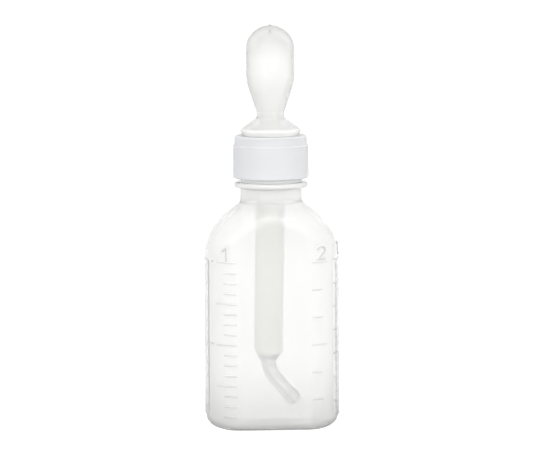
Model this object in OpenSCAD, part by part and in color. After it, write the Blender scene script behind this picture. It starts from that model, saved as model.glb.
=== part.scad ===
// Squeeze-bulb feeding bottle: a flat-sided bottle with moulded scales, a screw
// cap, and a dropper made of a soft bulb and a tube with a bent, ball-ended tip.
// Origin: centre of the base, on the table plane. +Z up, +X to the side that
// the tip points to, the numbered front face towards -Y.

/* [Body] */
// Width of the body, side to side
body_w = 41.6; // [40:0.1:44]
// Depth of the body, front to back
body_d = 30.6; // [29:0.1:33]
// Radius of the upright edges beside the front and back faces
body_edge_r = 9; // [7:0.5:10]
// Radius of the edge round the base
base_edge_r = 3.4; // [2.6:0.2:5]
// Height at which the straight sides end
shoulder_z = 55.1; // [54:0.1:56]
// Fall of the shoulder: radius lost per height squared
shoulder_fall = 0.0445; // [0.042:0.0005:0.048]
// Thickness of the blown wall
wall_t = 1.1; // [0.8:0.1:1.4]
// Height of the hollow under the base
push_up = 0.8; // [0.4:0.1:1.2]

/* [Neck] */
// Outside radius of the neck
neck_r = 9.7; // [9.5:0.01:9.75]
// Radius of the neck's bore
neck_bore_r = 8.3; // [7.8:0.1:8.5]
// Height of the mouth
mouth_z = 89.5; // [89.5:0.1:89.9]
// Outside radius of the ring below the cap
ring_r = 11.65; // [11:0.05:12]
// Height of the middle of that ring
ring_z = 76.3; // [75.5:0.1:76.5]
// Thickness of that ring
ring_t = 1.8; // [1.4:0.1:2]

/* [Thread] */
// Rise of the thread in one turn
thread_pitch = 3; // [2.8:0.1:3.2]
// Number of turns on the neck and in the cap
thread_turns = 1.5; // [1:0.25:1.5]
// Height of the lower end of the neck's thread
thread_z = 81.5; // [81.2:0.1:82]
// Height of the thread above the neck
thread_h = 0.95; // [0.8:0.05:1]

/* [Scales] */
// Height of the zero line of all four scales
scale_zero_z = 1.4; // [1.4:0.1:1.8]
// Height of the top line of all four scales
scale_top_z = 53.2; // [52.5:0.1:53.2]
// How far the lines and numerals stand out
relief = 0.3; // [0.2:0.05:0.4]
// Height of one line
line_t = 0.5; // [0.4:0.1:0.6]
// Divisions of the scale on the left of the front face
left_divisions = 16; // [8:4:20]
// Divisions of the scale on the right of the front face
right_divisions = 6; // [3:3:12]
// Divisions of the scale on the left narrow side
left_side_divisions = 8; // [4:4:16]
// Divisions of the scale on the right narrow side
right_side_divisions = 21; // [9:3:24]
// How far the plain bands on the narrow sides stand out
band_relief = 0.4; // [0.2:0.05:0.45]
// Width of those bands
band_w = 12.4; // [10:0.2:14]

/* [Cap] */
// Outside radius of the cap
cap_r = 11.9; // [11.8:0.05:12.2]
// Height of the cap's lower edge
cap_base_z = 78.3; // [78.1:0.1:78.6]
// Height of the cap's top face
cap_top_z = 91.7; // [91.6:0.1:91.9]
// Height of the step round the cap
cap_step_z = 88.7; // [88:0.1:89.5]
// Depth of that step
cap_step = 0.55; // [0.3:0.05:0.6]
// Thickness of the cap's top plate
plate_t = 1.2; // [1:0.1:1.3]
// Radius of the hole in the plate
plate_hole_r = 6; // [5.6:0.1:6.5]

/* [Bulb] */
// Height of the top of the bulb
bulb_top_z = 126.4; // [124:0.1:130]
// Radius of the bulb's dome
bulb_r = 7.64; // [7:0.02:8]
// Outside radius of the bulb's neck
bulb_neck_r = 4.43; // [4.3:0.01:4.7]
// Height at which the bulb starts to widen above its neck
bulb_neck_z = 98.95; // [98.5:0.05:99.5]
// Slope of the widening part, from the upright
bulb_flare = 18; // [16:0.5:19]
// Radius of the skirt that rests on the cap
skirt_r = 9.55; // [9:0.05:10]
// Thickness of the bulb's wall
bulb_wall_t = 1; // [0.8:0.1:1.4]
// Thickness of rubber over the top of the dome
bulb_dome_t = 3; // [1.5:0.1:4]

/* [Pipette] */
// Outside radius of the tube
tube_r = 4.55; // [4.3:0.05:4.8]
// Thickness of the tube's wall
tube_wall_t = 0.9; // [0.7:0.1:1.1]
// Radius of the spigot that the bulb grips
spigot_r = 3.25; // [3.1:0.05:3.35]
// Height of the spigot's upper end
spigot_top_z = 98.5; // [96:0.1:99]
// Height at which the tube closes in to the tip
tube_end_z = 23.2; // [22:0.1:25]
// Outside radius of the bent tip
tip_r = 2.2; // [2:0.05:2.4]
// Radius of the tip's bore
tip_bore_r = 1; // [0.8:0.05:1.2]
// Angle that the tip is bent through
tip_bend = 43; // [35:1:50]
// Radius of that bend, at the tip's centreline
bend_r = 10; // [9:0.5:11]
// Length of the straight run after the bend
tip_run = 7.2; // [6:0.1:7.5]
// Radius of the ball on the end
ball_r = 2.5; // [2.4:0.1:2.8]
// Lean of the tube from upright, towards -X
tube_lean = 0.9; // [0:0.1:1]

/* [Hidden] */
$fn = 96;

// Running clearance round the parts that turn or slide
clearance = 0.05;
// Length by which one solid runs into another so that they join
bite = 0.3;
// Radius of the body's curved narrow sides
side_r = body_w / 2;
// Centre of each rounded upright edge: it touches the side's curve and the flat face
edge_y = body_d / 2 - body_edge_r;
edge_x = sqrt(pow(side_r - body_edge_r, 2) - edge_y * edge_y);
// Height at which the shoulder meets the neck
neck_root_z = shoulder_z + sqrt((side_r - neck_r) / shoulder_fall);
// Room that a shape used for cutting or trimming leaves beyond the solid
room = 2;
// Height of the whole part, with room above, for tall cutting shapes
tall = bulb_top_z + room;

// Hollow under the base: flat rim left round it, at the sides and at the front
rim_side = 3;
rim_front = 2.5;
// Extra size of the raised floor inside the bottle, over that hollow
hollow_step = 1;

// Front scales: ends of the short and the long lines, in x
left_short = [-15.7, -11.5];
left_long = [-17.9, -11.5];
right_short = [11.8, 15.25];
right_long = [11.8, 17];
// Side scales: ends of the short and the long lines, in y
left_side_short = [-6.2, -3];
left_side_long = [-9.2, -3];
right_side_short = [-6.6, 2];
right_side_long = [-8.8, 2];
// How far the side scales' lines stand out from their band
side_relief = 0.12;
// Bands: gap above the zero line and rise above the top line
band_gap = 2.4;
band_rise = 0.3;
// Numerals: size, width of the stroke, gap above the top line, middle of each in x
numeral_h = 3.9;
stroke = 0.6;
numeral_gap = 0.9;
numeral_1_x = -14.8;
numeral_2_x = 14.6;
// How far the side numeral's flat face stands out from the shoulder's foot
numeral_3_relief = 1.2;

// Cap: bore, underside of the plate and crest of the inner thread
cap_bore_r = neck_r + thread_h + 0.33;
plate_z = cap_top_z - plate_t;
cap_crest_r = neck_r + 0.25;
// Rounding of the cap's top edge and lower edge, and the draft of its wall
cap_round = 0.7;
cap_lower_round = 0.5;
cap_draft = 0.1;
// Thread profiles: width at the foot and at the crest, on the neck and in the cap
neck_thread_w = [2, 0.7];
cap_thread_w = [1.9, 0.6];

// Bulb: lower flange, groove, skirt, and the curve from the flare to the straight part
flange_r = neck_r - clearance;
groove_r = plate_hole_r - clearance;
bulb_bore_r = spigot_r + clearance;
foot_z = cap_top_z + clearance;
foot_r = skirt_r - 0.7;
skirt_round = 0.6;
skirt_rim_z = foot_z + 1.55;
// Where the skirt's cone meets the neck, below the flare
cone_top = [bulb_neck_r + 0.15, bulb_neck_z - 1.75];
neck_foot_z = bulb_neck_z - 1.35;
// Moulding nub on the dome
nub_r = 0.5;
nub_h = 0.25;
// The throat above the spigot is a little narrower than the bore
throat_r = bulb_bore_r - 0.3;
throat_z = spigot_top_z + 1.2;
bore_end_z = spigot_top_z + 0.1;
dome_z = bulb_top_z - bulb_r;
belly_r = bulb_r - 0.02;
belly_curve_r = 18;
flare_top_r = belly_r - belly_curve_r * (1 - cos(bulb_flare));
flare_top_z = bulb_neck_z + (flare_top_r - bulb_neck_r) / tan(bulb_flare);
belly_z = flare_top_z + belly_curve_r * sin(bulb_flare);

// Pipette: top of the tube, its bore's roof and the wall of the spigot
tube_top_z = mouth_z - 0.2;
tube_bore_r = tube_r - tube_wall_t;
roof_z = tube_top_z - 1.5;
spigot_wall_t = 0.8;
// Start of the bend, and the rounded shoulder where the tube closes in to the tip
bend_z = tube_end_z - 2.3;
shoulder_round = tube_r - tip_r + 0.15;
// The straight run is a hair wider than the bend, so that it runs into it cleanly
run_grow = 0.03;
// Cone at the lower end of the tube's bore: radius and height, lower then upper
bore_cone = [[tip_bore_r + 0.2, tube_end_z - 0.6], [tube_bore_r, tube_end_z + 1.4]];
bore_floor_z = tube_end_z - 0.8;

// Points along an arc about c, from angle a to angle b
function arc(c, r, a, b, n = 8) = [
    for (i = [0:n]) c + r * [cos(a + (b - a) * i / n), sin(a + (b - a) * i / n)]
];

// Radius of the shoulder at height z
function shoulder_r(z) = side_r - shoulder_fall * pow(z - shoulder_z, 2);

// A point on the shoulder at height z, moved out by grow along the surface normal
function shoulder_point(z, grow) =
    let (slope = 2 * shoulder_fall * (z - shoulder_z))
    [shoulder_r(z), z] + grow * [1, slope] / norm([1, slope]);

// Round body with a domed shoulder, before its front and back are flattened
module dome(grow, bottom) {
    steps = 14;
    edge = base_edge_r + grow;
    rotate_extrude()
        polygon(concat(
            [[0, bottom]],
            arc([side_r + grow - edge, bottom + edge], edge, -90, 0, 6),
            [for (i = [0:steps])
                shoulder_point(shoulder_z + (neck_root_z - shoulder_z) * i / steps, grow)],
            [[0, neck_root_z + grow]]
        ));
}

// Upright prism that flattens the front and back and rounds the four edges
module flat_plan(grow) {
    corner_r = body_edge_r + grow;
    reach = side_r + room;
    for (sx = [-1, 1])
        for (sy = [-1, 1])
            translate([sx * edge_x, sy * edge_y, 0])
                cylinder(r = corner_r, h = tall);
    translate([-edge_x, -body_d / 2 - grow, 0])
        cube([2 * edge_x, body_d + 2 * grow, tall]);
    linear_extrude(tall)
        polygon([
            [0, 0],
            [reach, reach * edge_y / edge_x],
            [reach, -reach * edge_y / edge_x]
        ]);
    linear_extrude(tall)
        polygon([
            [0, 0],
            [-reach, reach * edge_y / edge_x],
            [-reach, -reach * edge_y / edge_x]
        ]);
}

// Slab, rounded along its lower front and back edges
module rolled_slab(grow, bottom) {
    half = body_d / 2 + grow;
    edge = base_edge_r + grow;
    rotate([90, 0, 90])
        translate([0, 0, -side_r - room])
            linear_extrude(2 * (side_r + room))
                polygon(concat(
                    arc([half - edge, bottom + edge], edge, -90, 0, 6),
                    [[half, tall], [-half, tall]],
                    arc([edge - half, bottom + edge], edge, 180, 270, 6)
                ));
}

// The body's outer shape, grown or shrunk all round
module body_shape(grow, bottom) {
    intersection() {
        dome(grow, bottom);
        flat_plan(grow);
        rolled_slab(grow, bottom);
    }
}

// One helical ridge, from r_foot (embedded) to r_crest, starting at angle 0
module ridge(z, r_foot, r_crest, width) {
    steps = 36 * thread_turns;
    turn = 360 * thread_turns;
    // steps over which each end rises, and the share of the height it starts from
    fade = 3;
    blunt = 0.3;
    half_foot = width[0] / 2;
    half_crest = width[1] / 2;
    function height(i) = max(blunt, min(1, i / fade, (steps - i) / fade));
    function ring(i) =
        let (
            a = turn * i / steps,
            lift = z + thread_pitch * a / 360,
            r = r_foot + (r_crest - r_foot) * height(i)
        )
        [
            [r_foot * cos(a), r_foot * sin(a), lift - half_foot],
            [r * cos(a), r * sin(a), lift - half_crest],
            [r * cos(a), r * sin(a), lift + half_crest],
            [r_foot * cos(a), r_foot * sin(a), lift + half_foot]
        ];
    points = [for (i = [0:steps]) each ring(i)];
    outward = r_crest > r_foot;
    sides = [
        for (i = [0:steps - 1]) for (k = [0:3])
            let (a = 4 * i + k, b = 4 * i + (k + 1) % 4, quad = [a, b, b + 4, a + 4])
            outward ? quad : [for (j = [0:3]) quad[3 - j]]
    ];
    last = 4 * steps;
    first_end = outward ? [3, 2, 1, 0] : [0, 1, 2, 3];
    last_end = outward ? [last, last + 1, last + 2, last + 3]
                       : [last + 3, last + 2, last + 1, last];
    polyhedron(points, concat([first_end, last_end], sides), convexity = 6);
}

// Lines of one scale: divisions from zero to the top, every long_every-th one long.
// A box is a line's lower corner and its size, [[x, y], [width, depth]].
module scale_lines(divisions, long_every, short_box, long_box) {
    pitch = (scale_top_z - scale_zero_z) / divisions;
    for (i = [1:divisions]) {
        box = i % long_every == divisions % long_every ? long_box : short_box;
        translate([box[0][0], box[0][1], scale_zero_z + i * pitch - line_t / 2])
            cube([box[1][0], box[1][1], line_t]);
    }
}

// Box of a line on the front face that runs between two values of x
function front_box(ends) =
    [[ends[0], -body_d / 2 - room], [ends[1] - ends[0], body_d / 2]];

// Box of a line on a narrow side, sx = -1 or 1, that runs between two values of y
function side_box(sx, ends) =
    [[sx > 0 ? edge_x : -side_r - room, ends[0]], [side_r + room - edge_x, ends[1] - ends[0]]];

// The numerals stand with their foot on y = 0
module numeral_1() {
    flag_w = 0.8;
    flag_drop = 0.9;
    flag_t = 0.5;
    half = stroke / 2;
    polygon([
        [-half, 0], [half, 0], [half, numeral_h], [-half / 3, numeral_h],
        [-half - flag_w, numeral_h - flag_drop],
        [-half - flag_w, numeral_h - flag_drop - flag_t],
        [-half, numeral_h - flag_drop]
    ]);
}

module numeral_2() {
    bowl_r = 1.25;
    bowl_y = numeral_h - bowl_r;
    // where the diagonal leaves the bowl, outside and inside, and where it meets the foot
    outer = [1.13, bowl_y - 0.5];
    inner = [0.65, bowl_y - 0.85];
    heel_x = -0.45;
    heel_y = stroke * 0.8;
    // wedge that opens the bowl to the lower left
    wedge = 2;
    difference() {
        translate([0, bowl_y])
            circle(r = bowl_r);
        translate([0, bowl_y])
            circle(r = bowl_r - stroke);
        translate([0, bowl_y])
            polygon([[0, 0], [-wedge, 0], [-wedge, -wedge], [bowl_r, -wedge]]);
    }
    polygon([
        [-bowl_r, 0], [bowl_r, 0], [bowl_r, stroke], [heel_x, stroke],
        outer, inner, [-bowl_r, heel_y]
    ]);
}

module numeral_3() {
    bowl_r = (numeral_h + stroke) / 4;
    // wedge that opens each bowl to the left
    wedge_w = 2;
    wedge_h = 1.1;
    for (y = [bowl_r, numeral_h - bowl_r])
        difference() {
            translate([0, y])
                circle(r = bowl_r);
            translate([0, y])
                circle(r = bowl_r - stroke);
            translate([0, y])
                polygon([[0, 0], [-wedge_w, wedge_h], [-wedge_w, -wedge_h]]);
        }
}

// Stands its 2-D child up above the front face's top line, centred on x
module on_front(x) {
    translate([x, -edge_y, scale_top_z + numeral_gap])
        rotate([90, 0, 0])
            linear_extrude(body_d / 2)
                children();
}

// Lines and numerals of the front face, deeper than they will stand out
module front_stock() {
    scale_lines(left_divisions, 4, front_box(left_short), front_box(left_long));
    scale_lines(right_divisions, 3, front_box(right_short), front_box(right_long));
    on_front(numeral_1_x)
        numeral_1();
    on_front(numeral_2_x)
        numeral_2();
}

// Plain bands on the narrow sides
module band_stock() {
    low = scale_zero_z + band_gap;
    high = scale_top_z + band_rise;
    for (x = [-side_r - room, edge_x])
        translate([x, -band_w / 2, low])
            cube([side_r + room - edge_x, band_w, high - low]);
}

// Lines on the bands
module side_stock() {
    scale_lines(
        left_side_divisions, 4, side_box(-1, left_side_short), side_box(-1, left_side_long)
    );
    scale_lines(
        right_side_divisions, 3, side_box(1, right_side_short), side_box(1, right_side_long)
    );
}

module bottle() {
    color([0.95, 0.96, 0.96, 0.45])
        difference() {
            union() {
                body_shape(0, 0);
                intersection() {
                    body_shape(relief, 0);
                    front_stock();
                }
                intersection() {
                    body_shape(band_relief, 0);
                    band_stock();
                }
                intersection() {
                    body_shape(band_relief + side_relief, 0);
                    side_stock();
                }
                // numeral on the side, with a flat face where the shoulder falls away
                intersection() {
                    translate([0, 0, scale_top_z + numeral_gap])
                        rotate([90, 0, 90])
                            linear_extrude(side_r)
                                numeral_3();
                    dome(numeral_3_relief, 0);
                }
                // neck, its root and the ring round it
                translate([0, 0, neck_root_z - wall_t])
                    cylinder(r = neck_r, h = mouth_z - neck_root_z + wall_t);
                rotate_extrude()
                    polygon(concat(
                        [[neck_r - bite, ring_z - ring_t / 2]],
                        arc([ring_r - ring_t / 2, ring_z], ring_t / 2, -90, 90, 8),
                        [[neck_r - bite, ring_z + ring_t / 2]]
                    ));
                ridge(thread_z, neck_r - bite, neck_r + thread_h, neck_thread_w);
            }
            // inside of the body, over the raised middle of the base
            difference() {
                body_shape(-wall_t, wall_t);
                base_hollow(wall_t + push_up, hollow_step);
            }
            translate([0, 0, neck_root_z - 2 * wall_t])
                cylinder(r = neck_bore_r, h = tall);
            // hollow under the base
            translate([0, 0, -room])
                base_hollow(room + push_up, 0);
        }
}

// Block that shapes the hollow under the base, larger by grow inside the bottle
module base_hollow(h, grow) {
    half_x = side_r - base_edge_r - rim_side + grow;
    half_y = body_d / 2 - base_edge_r - rim_front + grow;
    translate([-half_x + half_y, 0, 0])
        cylinder(r = half_y, h = h);
    translate([half_x - half_y, 0, 0])
        cylinder(r = half_y, h = h);
    translate([-half_x + half_y, -half_y, 0])
        cube([2 * (half_x - half_y), 2 * half_y, h]);
}

module screw_cap() {
    upper_r = cap_r - cap_step;
    lower_r = cap_r - cap_lower_round;
    color([0.93, 0.94, 0.95])
        union() {
            rotate_extrude()
                polygon(concat(
                    [[cap_bore_r, plate_z], [cap_bore_r, cap_base_z]],
                    arc([lower_r, cap_base_z + cap_lower_round], cap_lower_round, -90, 0, 4),
                    [[cap_r - cap_draft, cap_step_z], [upper_r, cap_step_z + cap_draft]],
                    arc([upper_r - cap_round, cap_top_z - cap_round], cap_round, 0, 90, 6),
                    [[plate_hole_r, cap_top_z], [plate_hole_r, plate_z]]
                ));
            ridge(thread_z - thread_pitch / 2, cap_bore_r + bite, cap_crest_r, cap_thread_w);
        }
}

module bulb() {
    inner_r = belly_r - bulb_wall_t;
    inner_top = bulb_top_z - nub_h - bulb_dome_t;
    color([0.96, 0.95, 0.93, 0.6])
        rotate_extrude()
            polygon(concat(
                // lower flange and the groove that holds the cap's plate
                [
                    [bulb_bore_r, mouth_z], [flange_r, mouth_z],
                    [flange_r, plate_z - clearance], [groove_r, plate_z - clearance],
                    [groove_r, foot_z], [foot_r, foot_z]
                ],
                // rounded rim of the skirt, then its cone up to the neck
                arc([skirt_r - skirt_round, skirt_rim_z], skirt_round, -20, 58, 4),
                [cone_top, [bulb_neck_r, neck_foot_z], [bulb_neck_r, bulb_neck_z]],
                // flare, belly and dome
                arc([belly_r - belly_curve_r, belly_z], belly_curve_r, -bulb_flare, 0, 6),
                arc([0, dome_z - nub_h], bulb_r, 0, acos(nub_r / bulb_r), 14),
                [[nub_r, bulb_top_z], [0, bulb_top_z]],
                // inside: dome, belly, throat and the bore over the spigot
                [for (i = [0:8]) [
                    inner_r * sin(90 * i / 8),
                    dome_z + (inner_top - dome_z) * cos(90 * i / 8)
                ]],
                [[inner_r, belly_z]],
                [[flare_top_r - bulb_wall_t, flare_top_z]],
                [[throat_r, throat_z], [throat_r, bore_end_z], [bulb_bore_r, bore_end_z]]
            ));
}

// The tip's centreline as solids of radius r: upright start, bend and straight run
module tip_path(r, run) {
    translate([0, 0, bend_z])
        cylinder(r = r, h = tube_end_z - bend_z + bite);
    translate([bend_r, 0, bend_z])
        rotate([90, 0, 0])
            rotate([0, 0, 180])
                rotate_extrude(angle = tip_bend)
                    translate([bend_r, 0])
                        circle(r = r);
    along_tip(-bite)
        cylinder(r = r + run_grow, h = run + bite);
}

// Puts its children on the straight run, at a distance from the end of the bend
module along_tip(distance) {
    translate([bend_r * (1 - cos(tip_bend)), 0, bend_z - bend_r * sin(tip_bend)])
        rotate([0, 180 - tip_bend, 0])
            translate([0, 0, distance])
                children();
}

// Leans its children about the top of the tube
module leaned() {
    translate([0, 0, tube_top_z])
        rotate([0, tube_lean, 0])
            translate([0, 0, -tube_top_z])
                children();
}

// Tube, shoulder, bent tip and ball, with the bore from the tube down to the ball
module tube() {
    difference() {
        union() {
            rotate_extrude()
                polygon(concat(
                    [[0, tube_top_z], [0, tube_end_z - shoulder_round]],
                    arc([tube_r - shoulder_round, tube_end_z], shoulder_round, -90, 0, 8),
                    [[tube_r, tube_top_z]]
                ));
            tip_path(tip_r, tip_run);
            along_tip(tip_run)
                sphere(r = ball_r);
        }
        rotate_extrude()
            polygon([
                [0, roof_z], [0, bore_floor_z], bore_cone[0], bore_cone[1],
                [tube_bore_r, roof_z]
            ]);
        tip_path(tip_bore_r, tip_run + ball_r + room);
    }
}

module pipette() {
    color([0.93, 0.92, 0.89, 0.8])
        difference() {
            union() {
                leaned()
                    tube();
                translate([0, 0, tube_top_z - bite])
                    cylinder(r = spigot_r, h = spigot_top_z - tube_top_z + bite);
            }
            // bore of the spigot, down into the tube
            translate([0, 0, roof_z - bite])
                cylinder(r = spigot_r - spigot_wall_t, h = tall);
        }
}

bottle();
screw_cap();
bulb();
pipette();
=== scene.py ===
"""Looks for a squeeze-bulb feeding bottle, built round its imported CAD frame.

Four pieces replace the four CAD nodes: a translucent flat-sided bottle with moulded
scales, a white screw cap, a clear soft bulb, and a milky tube with a bent, ball-ended tip.
Lengths are in millimetres until a mesh is made; then they become metres.
The front, with the numerals 1 and 2, faces -Y, and the tip bends towards +X.
"""

import math

import bpy
import numpy as np
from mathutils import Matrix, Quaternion, Vector


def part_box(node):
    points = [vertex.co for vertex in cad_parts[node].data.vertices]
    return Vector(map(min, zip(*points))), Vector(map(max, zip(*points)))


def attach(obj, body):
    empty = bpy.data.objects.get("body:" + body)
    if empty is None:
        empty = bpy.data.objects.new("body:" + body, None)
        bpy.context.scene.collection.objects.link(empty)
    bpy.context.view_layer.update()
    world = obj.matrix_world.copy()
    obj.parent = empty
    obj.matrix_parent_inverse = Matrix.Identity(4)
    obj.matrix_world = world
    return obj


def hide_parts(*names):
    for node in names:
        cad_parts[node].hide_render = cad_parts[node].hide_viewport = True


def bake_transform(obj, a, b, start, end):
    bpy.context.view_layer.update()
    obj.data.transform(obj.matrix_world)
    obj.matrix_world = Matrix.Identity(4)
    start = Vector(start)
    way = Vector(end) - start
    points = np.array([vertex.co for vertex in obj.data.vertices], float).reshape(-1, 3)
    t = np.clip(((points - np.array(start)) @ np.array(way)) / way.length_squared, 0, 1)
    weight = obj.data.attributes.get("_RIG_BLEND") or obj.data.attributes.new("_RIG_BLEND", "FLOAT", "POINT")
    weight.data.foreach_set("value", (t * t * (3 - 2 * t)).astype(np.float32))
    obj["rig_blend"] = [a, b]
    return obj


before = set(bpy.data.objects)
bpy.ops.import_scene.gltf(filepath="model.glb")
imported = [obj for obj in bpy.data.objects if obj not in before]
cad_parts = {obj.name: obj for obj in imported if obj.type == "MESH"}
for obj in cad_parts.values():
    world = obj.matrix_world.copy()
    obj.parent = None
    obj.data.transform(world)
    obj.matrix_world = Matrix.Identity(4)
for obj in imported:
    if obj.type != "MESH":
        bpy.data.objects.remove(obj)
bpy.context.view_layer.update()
MM = 0.001


def box_mm(node):
    """Lowest and highest corner of a CAD node, in millimetres."""
    low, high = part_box(node)
    return low / MM, high / MM


BOTTLE_HIGH = box_mm("bottle")[1]
CAP_LOW, CAP_HIGH = box_mm("screw_cap")
BULB_HIGH = box_mm("bulb")[1]
PIPETTE_HIGH = box_mm("pipette")[1]

# Body of the bottle
SIDE_R = 20.8  # radius of the curved narrow sides
HALF_D = 15.3  # half of the depth, front to back
EDGE_R = 9.0  # radius of the upright edges beside the flat faces
BASE_R = 3.4  # radius of the edge round the base
BASE_RIM = 3.0  # width over which the hollow under the base slopes down to the edge
FLOOR_RIM = 2.4  # the same on the floor inside
SHOULDER_Z = 55.1  # where the straight sides end
FALL = 0.0445  # radius that the shoulder loses per height squared
CREASE = 1.6  # softness of the crease between shoulder and flat faces
CREASE_FADE = 2.5  # how far inside the round outline the crease has its full softness
WALL = 1.1
WALL_LAG = 1.0  # how far above the neck's root the inside of the shoulder meets the bore
WALL_EASE = 5.0  # height over which it does
PUSH_UP = 2.0  # height of the hollow under the base
EDGE_Y = HALF_D - EDGE_R
EDGE_X = math.sqrt((SIDE_R - EDGE_R) ** 2 - EDGE_Y**2)
TINY = 1e-6  # keeps a division away from zero, and tells equal radii

# Mesh of the body: columns round it, rows up it, and how near a plain one may come to a
# feature's
BODY_COLUMNS = 150
COLUMN_GAP = math.radians(0.28)
ROW_STEP = 1.5
SHOULDER_ROWS = 32
STRAIGHT_ROWS = 4
ROW_GAP = 0.07

# Neck of the bottle
NECK_R = 9.7
NECK_BORE_R = 8.3
NECK_FILLET = 0.35  # radius beside the ring and at the mouth's outer edge
MOUTH_FILLET = 0.3  # radius of the mouth's inner edge
RING_R = 11.65
RING_Z = 76.3
RING_T = 1.8
MOUTH_Z = BOTTLE_HIGH.z
ROOT_CURVE = [(0.3, 0.05), (0.1, 0.45), (0.0, 1.0)]  # out from the neck, up from its root
NECK_ROOT_Z = SHOULDER_Z + math.sqrt((SIDE_R - NECK_R) / FALL)

# Thread, shared by the neck and the cap
PITCH = 3.0
TURNS = 1.5
THREAD_Z = 81.5
THREAD_H = 0.95
NECK_RIDGE = (2.0, 0.7)  # width of the ridge at its foot and at its crest
CAP_RIDGE = (1.9, 0.6)
RUN_OUT = 0.06  # share of a turn over which the ridge rises and ends
THREAD_ROWS = 52
THREAD_MARGIN = 1.6  # plain neck below and above the thread that shares its rows
BORE_GAP = 0.33  # clearance from the neck's thread to the cap's bore
CREST_GAP = 0.25  # clearance from the cap's thread to the neck

# Moulded scales
ZERO_Z = 1.4  # height of the scales' zero
TOP_Z = 53.2  # height of their top lines
LINE_RELIEF = 0.32
LINE_T = 0.56
BEVEL = 0.24  # width of the slope at the edge of a line or a numeral
BAND_RELIEF = 0.4
BAND_BEVEL = 0.28
BAND_END_BEVEL = 0.3
BAND_Y = 6.2  # half of the width of the raised band on each narrow side
BAND_LOW_Z = ZERO_Z + 2.4
BAND_HIGH_Z = TOP_Z + 0.3
SIDE_LINE_RELIEF = BAND_RELIEF + 0.13
NUMERAL_RELIEF = 0.42
NUMERAL_Z = TOP_Z + 0.85  # height of the numerals' feet
NUMERAL_STEP = 0.12  # spacing of the mesh under a numeral
NUMERAL_SPAN = (-1.6, 1.7)  # its extent to each side of the middle
SIDE_SPAN = (-1.5, 1.6)
NUMERAL_RISE = (-0.5, 4.7)  # its extent below and above the foot
NUMERAL_STROKE = 0.3  # half of the width of a numeral's stroke
SIDE_STROKE = 0.35
SIDE_FLUSH = 1.1  # most that the side numeral stands out, where the shoulder falls away
LINE_SHADE_WEIGHT = 0.5  # how much painted shade a front line gets, when a numeral gets 1
# how much painted shade the lines and numeral on the narrow sides get
SIDE_SHADE_WEIGHT = 0.2

# Each scale: number of divisions, every how many a long line comes, and the ends of the
# short and long lines, in x on the front face or in y on a narrow side; the narrow sides
# come with -1 for the left or 1 for the right.
FRONT_SCALES = [
    (16, 4, (-15.7, -11.5), (-17.9, -11.5)),
    (6, 3, (11.8, 15.25), (11.8, 17.0)),
]
SIDE_SCALES = [
    (-1, 8, 4, (-6.2, -3.0), (-9.2, -3.0)),
    (1, 21, 3, (-6.6, 2.0), (-8.8, 2.0)),
]
NUMERALS = {1: -14.9, 2: 14.75}  # the middle of each front numeral, in x
SIDE_NUMERAL = 3

# Cap
CAP_R = CAP_HIGH.x
CAP_BASE = CAP_LOW.z
CAP_TOP = CAP_HIGH.z
CAP_STEP_Z = 88.7
CAP_STEP = 0.55
CAP_DRAFT = 0.1  # radius that the cap loses from its base to its step
HAIR = 0.005  # keeps an arc's end and the next point apart
CAP_LOW_EDGE = 0.6
CAP_TOP_EDGE = 0.7
STEP_EDGE = 0.2  # radii of the step's outer and inner edge
STEP_FILLET = 0.15
PLATE_T = 1.2
HOLE_R = 6.0
HOLE_EDGE = 0.2
BORE_FILLET = 0.4
CAP_BORE_R = NECK_R + THREAD_H + BORE_GAP
CAP_BORE_ROWS = 60
CAP_COLUMNS = 144
PLATE_Z = CAP_TOP - PLATE_T

# Bulb
BULB_TOP = BULB_HIGH.z
BULB_R = 7.64
BULB_NECK_R = 4.43
BULB_NECK_Z = 98.95
FLARE = 18  # degrees by which the wall leans outwards above the neck
BELLY_CURVE_R = 18.0
SKIRT_R = 9.55
SKIRT_ROUND = 0.6  # radius of the skirt's rim
NECK_HOLLOW = 1.0  # radii where the bulb's neck meets its skirt and its belly
NECK_FLARE = 1.5
BULB_WALL = 0.6
BULB_DOME_T = 3.0
NUB_R = 0.5
NUB_H = 0.25
PIP_R = 0.36  # the small moulding pip in the top of the bulb's cavity
PIP_H = 0.9
PIP_DEPTH = 2.9  # how far below the bulb's top the painted shade on the pip is centred
SPIGOT_R = 3.25
SOFT_GAP = 0.05  # clearance between the bulb and what it grips
FLANGE_EDGE = 0.2
CAVITY_DOME = 3.5  # how far the cavity's dome starts below the outside's
CAVITY_BELLY_Z = 111.4
THROAT = (5.3, 105.2)  # radius and height where the cavity starts to close
PINCH_Z = 109.0  # the squeeze is full from here
PINCH_FADE_Z = 116.0  # and loses PINCH_LOSS of itself from here to the top
PINCH_LOSS = 0.6
BULB_COLUMNS = 208

# Pipette
TUBE_R = 4.55
TUBE_WALL = 0.9
TUBE_TOP = MOUTH_Z - 0.2
TUBE_EDGE_R = 0.3
SPIGOT_TOP = PIPETTE_HIGH.z
SPIGOT_WALL = 0.8
SPIGOT_EDGE = 0.25
SPIGOT_BORE_EDGE = 0.15
TUBE_END = 23.2
TIP_R = 2.2
TIP_TAPER = 0.08  # radius that the tip loses towards the ball
TIP_BORE_R = 1.0
BEND = math.radians(43)
BEND_R = 10.0
BEND_Z = TUBE_END - 2.3
BEND_RUN = BEND_R * BEND  # length of the bend along the axis
TIP_RUN = 7.2
BALL_R = 2.5
BALL_Z = BEND_Z - BEND_R * math.sin(BEND) - TIP_RUN * math.cos(BEND)
LEAN = math.radians(0.9)
TUBE_COLUMNS = 72


# ---------------------------------------------------------------- mesh helpers


def smoothstep(x, low, high):
    """0 where x is low, 1 where it is high, and a soft step between."""
    t = np.clip((x - low) / (high - low), 0.0, 1.0)
    return t * t * (3 - 2 * t)


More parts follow.
